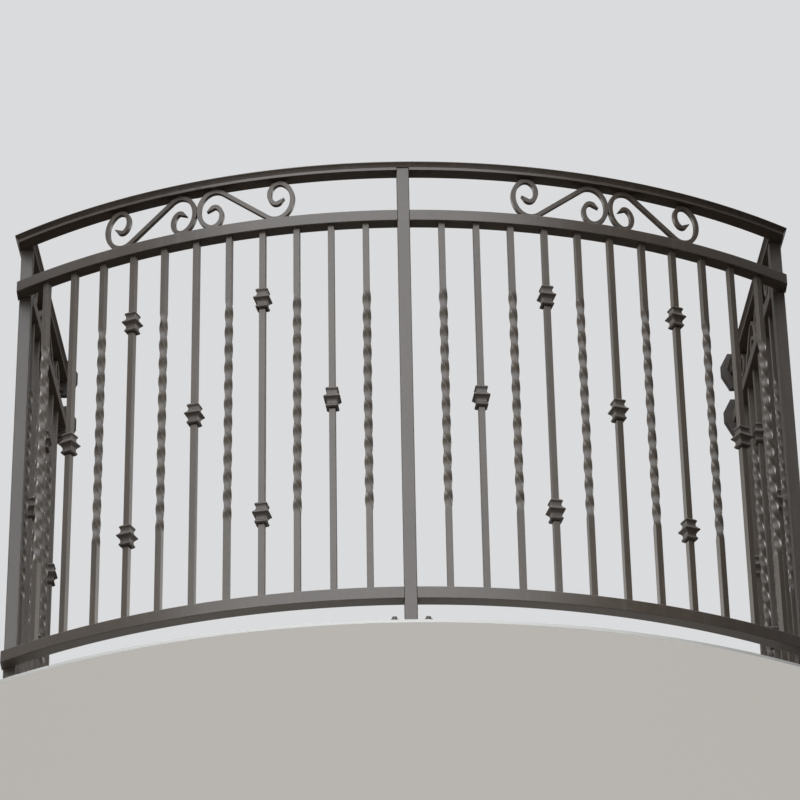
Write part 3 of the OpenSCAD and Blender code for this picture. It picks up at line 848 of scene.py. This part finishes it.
def bead_part(origin, first, second, facing, half_first, half_second, size, seed):
    """A weld bead round a rectangle: its path is the rectangle's outline with round corners, and at each
    step its section goes from size up the bar to size out on the plate. The size is the mean size times
    1 + a sum of sines of the path's length, each a whole number of waves, with phases from the seed."""
    first, second, facing = (np.array(axis, dtype=float) for axis in (first, second, facing))
    outline, tangent, _ = bar_section(2 * half_first, 2 * half_second, size / 2, lip=size, steps=2)
    share = np.linspace(0, 1, BEAD_STEPS, endpoint=False)[:, None, None]
    steps = outline * (1 - share) + np.roll(outline, -1, axis=0) * share
    path = steps.transpose(1, 0, 2).reshape(-1, 2)
    outward = np.repeat(np.stack([tangent[:, 1], -tangent[:, 0]], axis=1), BEAD_STEPS, axis=0)
    run = np.cumsum(np.linalg.norm(np.roll(path, -1, axis=0) - path, axis=1))
    turns = 2 * math.pi * run / run[-1]
    phases = np.array([1.0, 2.3, 4.1]) * (seed + 1)
    waves = np.round(run[-1] / WAVES)
    swell = size * (1 + (np.sin(turns[:, None] * waves + phases) * WAVE_SHARES).sum(axis=1))
    flat = path[:, None] + outward[:, None] * (swell[:, None] * BEAD_OUT)[..., None]
    rise = swell[:, None] * BEAD_UP
    points = origin + flat[..., :1] * first + flat[..., 1:] * second + rise[..., None] * facing
    around = np.roll(points, -1, axis=1) - np.roll(points, 1, axis=1)
    travel = np.roll(points, -1, axis=0) - np.roll(points, 1, axis=0)
    return grid_part(points, outward_normals(points, around, travel), 0.0, ring_closed=True)


def lump_part(centre, sizes, axes, seed):
    """A flat lump of weld: a ball drawn out to three sizes along three axes, with a swell from a sum of
    sines. Its poles are cut off by a small flat face, so that they are closed."""
    polar = np.radians(np.linspace(4, 176, 9))[:, None]
    turn = np.linspace(0, 2 * math.pi, 16, endpoint=False)
    swell = 1 + 0.10 * np.sin(3 * turn + seed) + 0.08 * np.sin(5 * turn + 2 * seed + 2 * polar)
    ball = np.stack([np.sin(polar) * np.cos(turn) * swell, np.sin(polar) * np.sin(turn) * swell,
                     np.cos(polar) + 0 * turn], axis=2)
    points = centre + ball @ (np.array(sizes)[:, None] * np.array(axes, dtype=float))
    around = np.roll(points, -1, axis=1) - np.roll(points, 1, axis=1)
    return grid_part(points, outward_normals(points, around, np.gradient(points, axis=0)), 0.0)


print("a lump of weld has", len(lump_part(np.zeros(3), (1, 1, 1), np.eye(3), 0)["points"]), "points")

# %% [markdown]
# Now the places. Each stretch gets the beads of its pickets and the lumps of its scrolls as one piece.
# One more piece holds what joins the frame itself: the beads under the posts and at the flanges, and the
# lumps where rails meet a post. The number of the picket, or the place, is the seed, so no two are alike.

# %% Where the welds are
PICKET_BEAD, POST_BEAD, FLANGE_BEAD = 2.2 * MM, 4 * MM, 3 * MM
SCROLL_LUMP, PAIR_LUMP = (7 * MM, 5.2 * MM, 1.7 * MM), (1.6 * MM, 5.2 * MM, 8 * MM)
LUMP_LENGTH, LUMP_THICK = 10 * MM, 2.4 * MM


def picket_welds(side, where):
    """A bead at the foot and at the head of each picket of one stretch."""
    for i, x, y, turn in picket_places(side, where):
        first, second = (math.cos(turn), math.sin(turn), 0), (-math.sin(turn), math.cos(turn), 0)
        for end, (level, facing) in enumerate(((PICKET_LOW, UP), (PICKET_HIGH, -UP))):
            yield bead_part(np.array([x, y, level]), first, second, facing, PICKET / 2, PICKET / 2,
                            PICKET_BEAD, i + 20 * end)


def scroll_welds(side, where):
    """A lump where each big turn touches a rail, and one where the two scrolls of a pair meet."""
    places = scroll_places(side, where)
    for number, (middle, first) in enumerate(places):
        depth = np.cross(first, UP)
        for sign in (-1, 1):
            yield lump_part(middle + sign * (VOLUTE_X * first + SCROLL_GAP / 2 * UP),
                            SCROLL_LUMP, (first, depth, UP), sign + 3 * number)
    middle, first = places[0]
    yield lump_part(middle + SCROLL_LENGTH / 2 * first, PAIR_LUMP, (first, np.cross(first, UP), UP), 7)


for side, where in stretches:
    beads = [*picket_welds(side, where), *scroll_welds(side, where)]
    make_piece(f"welds_{where}_{side}", beads, "frame_paint", paint=WELD_PAINT)

seams = []
for x, y in ((0.0, 0.0), (SIDE_X, CORNER_Y), (-SIDE_X, CORNER_Y)):
    seams.append(bead_part(np.array([x, y, post_low[2]]), (1, 0, 0), (0, 1, 0), UP,
                           POST / 2, POST / 2, POST_BEAD, x))
for side in ("left", "right"):
    for low, high in ((foot_low[2], foot_high[2]), (mid_low[2], mid_high[2])):
        middle = np.array([on_side(side, FLANGE_X), SIDE_END, (low + high) / 2])
        seams.append(bead_part(middle, (1, 0, 0), UP, (0, -1, 0),
                               RAIL / 2, (high - low) / 2, FLANGE_BEAD, low))
        for level in (low, high):
            seams.append(lump_part(np.array([on_side(side, POST / 2), 0, level]),
                                   (LUMP_THICK, LUMP_LENGTH, LUMP_THICK), np.eye(3), level))
            for y in (CORNER_Y - POST / 2, SIDE_START):
                seams.append(lump_part(np.array([on_side(side, SIDE_X), y, level]),
                                       (LUMP_LENGTH, LUMP_THICK, LUMP_THICK), np.eye(3), level + y))
make_piece("welds_of_the_frame", seams, "frame_paint", paint=WELD_PAINT)

# %% [markdown]
# ## Plates
# The base plates and the wall flanges are cut from flat plate and drilled. Their solids are right as
# they were drawn, and the only thing missing is the small bevel that a file leaves along every edge,
# so each is copied with that bevel and then painted.

# %% Plates
FILED_EDGE, FILED_ANGLE, SAME_POINT = 0.8 * MM, math.radians(35), 0.01 * MM
PLATES = ("base_plate_centre", "base_plate_left", "base_plate_right",
          "wall_flanges_left", "wall_flanges_right")
for node in PLATES:
    plate = new_object(f"{node}_filed", frame["nodes"][node].data.copy())
    joined = plate.modifiers.new("joined", "WELD")
    joined.merge_threshold = SAME_POINT
    filed = plate.modifiers.new("filed", "BEVEL")
    filed.width, filed.segments = FILED_EDGE, 2
    filed.limit_method, filed.angle_limit = "ANGLE", FILED_ANGLE
    plate.data.materials.clear()
    # The flanges take the nearly black paint that is painted shade, and the base plates their own enamel.
    plate.data.materials.append(FLANGE_SHADE_PAINT if "flange" in node else PAINTS["plate_paint"])
    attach(plate, "root")
    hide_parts(node)
for subpart in frame["record"]["subparts"]:
    solid = frame["nodes"][subpart["node"]]
    solid.data.materials.clear()
    solid.data.materials.append(PAINTS[subpart["material_slot"]])

# %% [markdown]
# ## Nuts and screws
# Each base plate is held by four anchor studs with a washer and a hexagon nut, and each wall flange by
# two coach screws, painted over with the rest. The places come from the frame's own bolt patterns. A
# fastener is a stack of short bars on one axis: a round washer, a hexagon, and the low round face that
# the chamfer leaves on top of it. On an anchor the threaded end stands out above that. The heights and
# the face are shares of the width across flats, guessed from what such nuts look like.

# %% Nuts and screws
WASHER_HEIGHT, HEAD_HEIGHT, FACE_HEIGHT, FACE_RADIUS = 0.12, 0.62, 0.05, 0.46
STUD_SHOWS, HEXAGON_ARRIS = 0.6, 0.4 * MM
ANCHOR, COACH_SCREW = (16 * MM, 20 * MM, 10 * MM), (10 * MM, 14 * MM, 0)


def round_section(radius, count=24):
    """Outline of a round bar, its tangents, and a weight of 0."""
    turn = np.linspace(0, 2 * math.pi, count, endpoint=False)
    outward = np.stack([np.cos(turn), np.sin(turn)], axis=1)
    return radius * outward, np.stack([-outward[:, 1], outward[:, 0]], axis=1), np.zeros(count)


def hexagon_section(flats, arris):
    """Outline of a hexagon, two points on each flat: f / 2 out, and f tan(30) / 2 less the arris to
    either side of its middle. The weight is 1, because its corners are all arris."""
    turn = np.repeat(np.arange(6) * math.pi / 3, 2)
    outward = np.stack([np.cos(turn), np.sin(turn)], axis=1)
    tangent = np.stack([-outward[:, 1], outward[:, 0]], axis=1)
    sideways = np.tile([-1.0, 1.0], 6) * (flats * math.tan(math.radians(30)) / 2 - arris)
    return flats / 2 * outward + sideways[:, None] * tangent, tangent, np.ones(12)


def fastener_parts(place, axis, flats, washer, stud):
    """Washer, hexagon, its round top face and the end of the stud, as bars along the axis. The sizes are
    the width across flats and the diameters of washer and stud."""
    thick, head, face = WASHER_HEIGHT * flats, HEAD_HEIGHT * flats, FACE_HEIGHT * flats
    stack = [(round_section(washer / 2), thick),
             (hexagon_section(flats, HEXAGON_ARRIS), thick + head),
             (round_section(FACE_RADIUS * flats), thick + head + face)]
    if stud:
        stack.append((round_section(stud / 2), thick + head + STUD_SHOWS * stud))
    second = np.cross(axis, (1, 0, 0))
    return [line_part(section, place, (1, 0, 0), second, axis, 0.0, top) for section, top in stack]


plate_top = corners("base_plate_centre")[1][2]
nuts, screws = [], []
for mount in frame["record"]["mounts"]:
    if mount["kind"] != "bolt_pattern":
        continue
    x, y, z = mount["pos_m"]
    reach = mount["dims"]["spacing_y_mm"] * MM / 2
    if mount["name"].startswith("base"):
        for right, back in ((-1, -1), (1, -1), (1, 1), (-1, 1)):
            place = np.array([x + right * reach, y + back * reach, plate_top])
            nuts += fastener_parts(place, (0, 0, 1), *ANCHOR)
    else:
        for up in (-1, 1):
            place = np.array([x, flange_low[1], z + up * reach])
            screws += fastener_parts(place, (0, -1, 0), *COACH_SCREW)
make_piece("anchor_nuts", nuts, "plate_paint")
# The screws on the flanges share the flanges' nearly black paint, which is painted shade.
make_piece("wall_screws", screws, "plate_paint", paint=FLANGE_SHADE_PAINT)

# %% [markdown]
# ## Splice
# The flat bar under the cap is pieced on the left, between the two scrolls. The butt weld was filed
# nearly flush, and now shows as a short dull patch that breaks the bright line of the bar's edge.

# %% Splice
SPLICE_AT, SPLICE_WIDTH, SPLICE_PROUD, SPLICE_RINGS = -418 * MM, 11 * MM, 0.3 * MM, 4
splice_section = bar_section(RAIL + 2 * SPLICE_PROUD, top_high[2] - top_low[2] + SPLICE_PROUD, FLAT_ARRIS)
patch = bow_part(splice_section, (top_low[2] + top_high[2] - SPLICE_PROUD) / 2,
                 (-1.0, 0.0, -SPLICE_AT - SPLICE_WIDTH / 2),
                 (-1.0, 0.0, -SPLICE_AT + SPLICE_WIDTH / 2), SPLICE_RINGS)
make_piece("splice_of_the_top_rail", [patch], "frame_paint", paint=WELD_PAINT)

# %% [markdown]
# ## Floor
# The floor is a pale half-round table that follows the bow in front and ends just behind the flanges. It
# has to be that short, because the camera is below it, and a rail's underside would mirror whatever lies
# further back. Its own underside glows a little, as a light table does, or it would be the darkest thing
# in the picture. Nothing here is part of the railing, so these finishes are plain.

# %% Floor
FLOOR_RADIUS, FLOOR_THICK, FLOOR_BACK = BOW_RADIUS + 75 * MM, 6 * MM, flange_high[1] + 90 * MM
FLOOR_POINTS, FLOOR_GLOW = 160, 0.62


def studio_finish(name, settings):
    """A plain material for what stands round the railing: the usual shader with these settings."""
    material = bpy.data.materials.new(name)
    material.use_nodes = True
    for key, value in settings.items():
        material.node_tree.nodes["Principled BSDF"].inputs[key].default_value = value
    return material


half_turn = math.acos((BOW_RADIUS - FLOOR_BACK) / FLOOR_RADIUS)
turns = np.linspace(-half_turn, half_turn, FLOOR_POINTS)
rim = np.stack([FLOOR_RADIUS * np.sin(turns), BOW_RADIUS - FLOOR_RADIUS * np.cos(turns)], axis=1)
disc = np.concatenate([np.column_stack([rim, np.full(len(rim), level)]) for level in (-FLOOR_THICK, 0.0)])
here = np.arange(FLOOR_POINTS)
onward = np.roll(here, -1)
edge = np.stack([here, onward, FLOOR_POINTS + onward, FLOOR_POINTS + here], axis=1)
floor_mesh = bpy.data.meshes.new("floor")
floor_mesh.from_pydata(disc.tolist(), [],
                       [here[::-1].tolist(), (FLOOR_POINTS + here).tolist(), *edge.tolist()])
floor = new_object("floor", floor_mesh)
matt = {"Base Color": linear("#b0aea9"), "Roughness": 0.85, "Emission Color": linear("#d8d6d1")}
glowing = {**matt, "Emission Strength": FLOOR_GLOW}
floor_mesh.materials.append(studio_finish("matt_floor_paint", matt))
floor_mesh.materials.append(studio_finish("lit_underside_of_the_floor", glowing))
floor_mesh.polygons[0].material_index = 1
print("floor radius", round(FLOOR_RADIUS, 3))

# %% [markdown]
# ## Lamps
# Most of the light comes from the surroundings, which are set below. Three large soft lamps only fill it
# in: one above, and one far out behind each side, so that the back doesn't go black. A lamp straight
# behind would give the side panels a white glancing line.

# %% Lamps
# Each lamp is a name, its place, the place it looks at, its width, its power in watts and its colour.
LAMPS = (("top_light", (0.4, 1.6, 5.2), (0.0, 0.2, 0.7), 3.0, 120.0, (1.0, 0.99, 0.97)),
         ("back_light_left", (-5.2, 3.6, 2.6), (0.0, 0.3, 0.6), 2.4, 150.0, (1.0, 0.985, 0.96)),
         ("back_light_right", (5.2, 3.6, 2.6), (0.0, 0.3, 0.6), 2.4, 150.0, (1.0, 0.985, 0.96)))


def soft_light(name, place, aim, size, energy, colour):
    """A square area light that hangs at a place and looks at another."""
    lamp = new_object(name, bpy.data.lights.new(name, "AREA"))
    lamp.data.energy, lamp.data.size, lamp.data.color = energy, size, colour
    back = unit(np.array(place) - aim)
    right = unit(np.cross(UP, back))
    matrix = np.eye(4)
    matrix[:3, 0], matrix[:3, 1], matrix[:3, 2] = right, np.cross(back, right), back
    matrix[:3, 3] = place
    lamp.matrix_world = matrix.T
    lamp.visible_camera = False


for lamp_settings in LAMPS:
    soft_light(*lamp_settings)
print(len(LAMPS), "lamps")

# %% [markdown]
# ## Flags
# In the picture the bars get darker towards both ends of the railing. The turn of the bow can't be the
# only cause, because a twisted bar faces every way and those darken as well. The real cause isn't seen. A
# studio copies the effect with flags, black cloths that stand in the light's way. One stands in front of
# each end and hides part of the bright surroundings from it. The right one reaches further in, and the
# camera sees neither.

# %% Flags
FLAG_Y, FLAG_LOW, FLAG_HIGH = -0.9, -0.4, 3.4
# Each flag is a side, and where its inner and its outer edge are along X.
FLAGS = (("left", -1.21, -2.6), ("right", 0.68, 2.6))
flag_cloth = studio_finish("black_flag_cloth", {"Base Color": linear("#0c0c0c"), "Roughness": 1.0})
for side, inner, outer in FLAGS:
    flag_mesh = bpy.data.meshes.new(f"flag_{side}")
    flag_mesh.from_pydata([(inner, FLAG_Y, FLAG_LOW), (outer, FLAG_Y, FLAG_LOW),
                           (outer, FLAG_Y, FLAG_HIGH), (inner, FLAG_Y, FLAG_HIGH)], [], [(0, 1, 2, 3)])
    flag_mesh.materials.append(flag_cloth)
    flag = new_object(f"flag_{side}", flag_mesh)
    flag.visible_camera = False
print(len(FLAGS), "flags")

# %% [markdown]
# ## Surroundings
# The paint is dark, so nearly all that the eye sees of an upright bar is its gloss, and that mirrors one
# place: high behind the camera, a little to the left. The surroundings are brightest there, like a large
# softbox with faded edges, and a bar darkens as it turns away from it, along the bow or within a twist.
# The rest is dim: cool from above, a faint warm glow from below, and weakest towards +Y. The camera itself
# sees none of this, but an even pale backdrop on every side.

# %% Surroundings
SOFTBOX_PAN, SOFTBOX_RISE, SOFTBOX_EDGE = (math.radians(angle) for angle in (-10, 31, 66))
SOFTBOX_STRENGTH, SOFTBOX_COLOUR = 4.2, (0.90, 0.95, 1.0, 1.0)
BACKDROP_STRENGTH, BACKDROP_COLOUR = 0.72, (0.975, 0.985, 1.0, 1.0)
# Colours by height, from -1 straight down to 1 straight up.
SKY_BY_HEIGHT = ((-0.15, (0.085, 0.062, 0.046)), (0.3, (0.18, 0.19, 0.205)),
                 (0.6, (0.24, 0.255, 0.28)), (0.95, (0.80, 0.86, 0.95)))

world = bpy.data.worlds.new("studio")
bpy.context.scene.world = world
world.use_nodes = True
air = world.node_tree
air.nodes.clear()
direction = add(air, "ShaderNodeTexCoord").outputs["Generated"]
heading = add(air, "ShaderNodeSeparateXYZ", (), {0: direction})
height = add(air, "ShaderNodeMapRange", {"From Min": -1.0}, {"Value": heading.outputs["Z"]})
by_height = add(air, "ShaderNodeValToRGB", (), {0: height.outputs[0]})
stops = by_height.color_ramp.elements
for stop, (level, colour) in zip([stops[0], stops[1], stops.new(0.7), stops.new(0.9)], SKY_BY_HEIGHT):
    stop.position, stop.color = (level + 1) / 2, (*colour, 1.0)
to_back = add(air, "ShaderNodeMapRange",
              {"From Min": 0.3, "From Max": 0.9, "To Min": 1.0, "To Max": 0.25},
              {"Value": heading.outputs["Y"]})
dim_sky = add(air, "ShaderNodeBackground", (),
              {"Color": by_height.outputs["Color"], "Strength": to_back.outputs[0]})

toward_box = (math.sin(SOFTBOX_PAN) * math.cos(SOFTBOX_RISE),
              -math.cos(SOFTBOX_PAN) * math.cos(SOFTBOX_RISE), math.sin(SOFTBOX_RISE))
nearness = add(air, "ShaderNodeVectorMath", {"operation": "DOT_PRODUCT", 1: toward_box}, {0: direction})
fade = add(air, "ShaderNodeMapRange",
           {"interpolation_type": "SMOOTHSTEP", "From Min": math.cos(SOFTBOX_EDGE),
            "From Max": 1.0, "To Min": 0.0, "To Max": SOFTBOX_STRENGTH}, {"Value": nearness.outputs["Value"]})
softbox = add(air, "ShaderNodeBackground", {"Color": SOFTBOX_COLOUR}, {"Strength": fade.outputs[0]})
lit = add(air, "ShaderNodeAddShader", (), {0: dim_sky.outputs[0], 1: softbox.outputs[0]})
backdrop = add(air, "ShaderNodeBackground", {"Color": BACKDROP_COLOUR, "Strength": BACKDROP_STRENGTH})
to_camera = add(air, "ShaderNodeLightPath").outputs["Is Camera Ray"]
seen = add(air, "ShaderNodeMixShader", (), {0: to_camera, 1: lit.outputs[0], 2: backdrop.outputs[0]})
add(air, "ShaderNodeOutputWorld", (), {"Surface": seen.outputs[0]})
bpy.context.scene.view_settings.view_transform = "Standard"
print("the softbox is brightest towards", [round(v, 2) for v in toward_box])
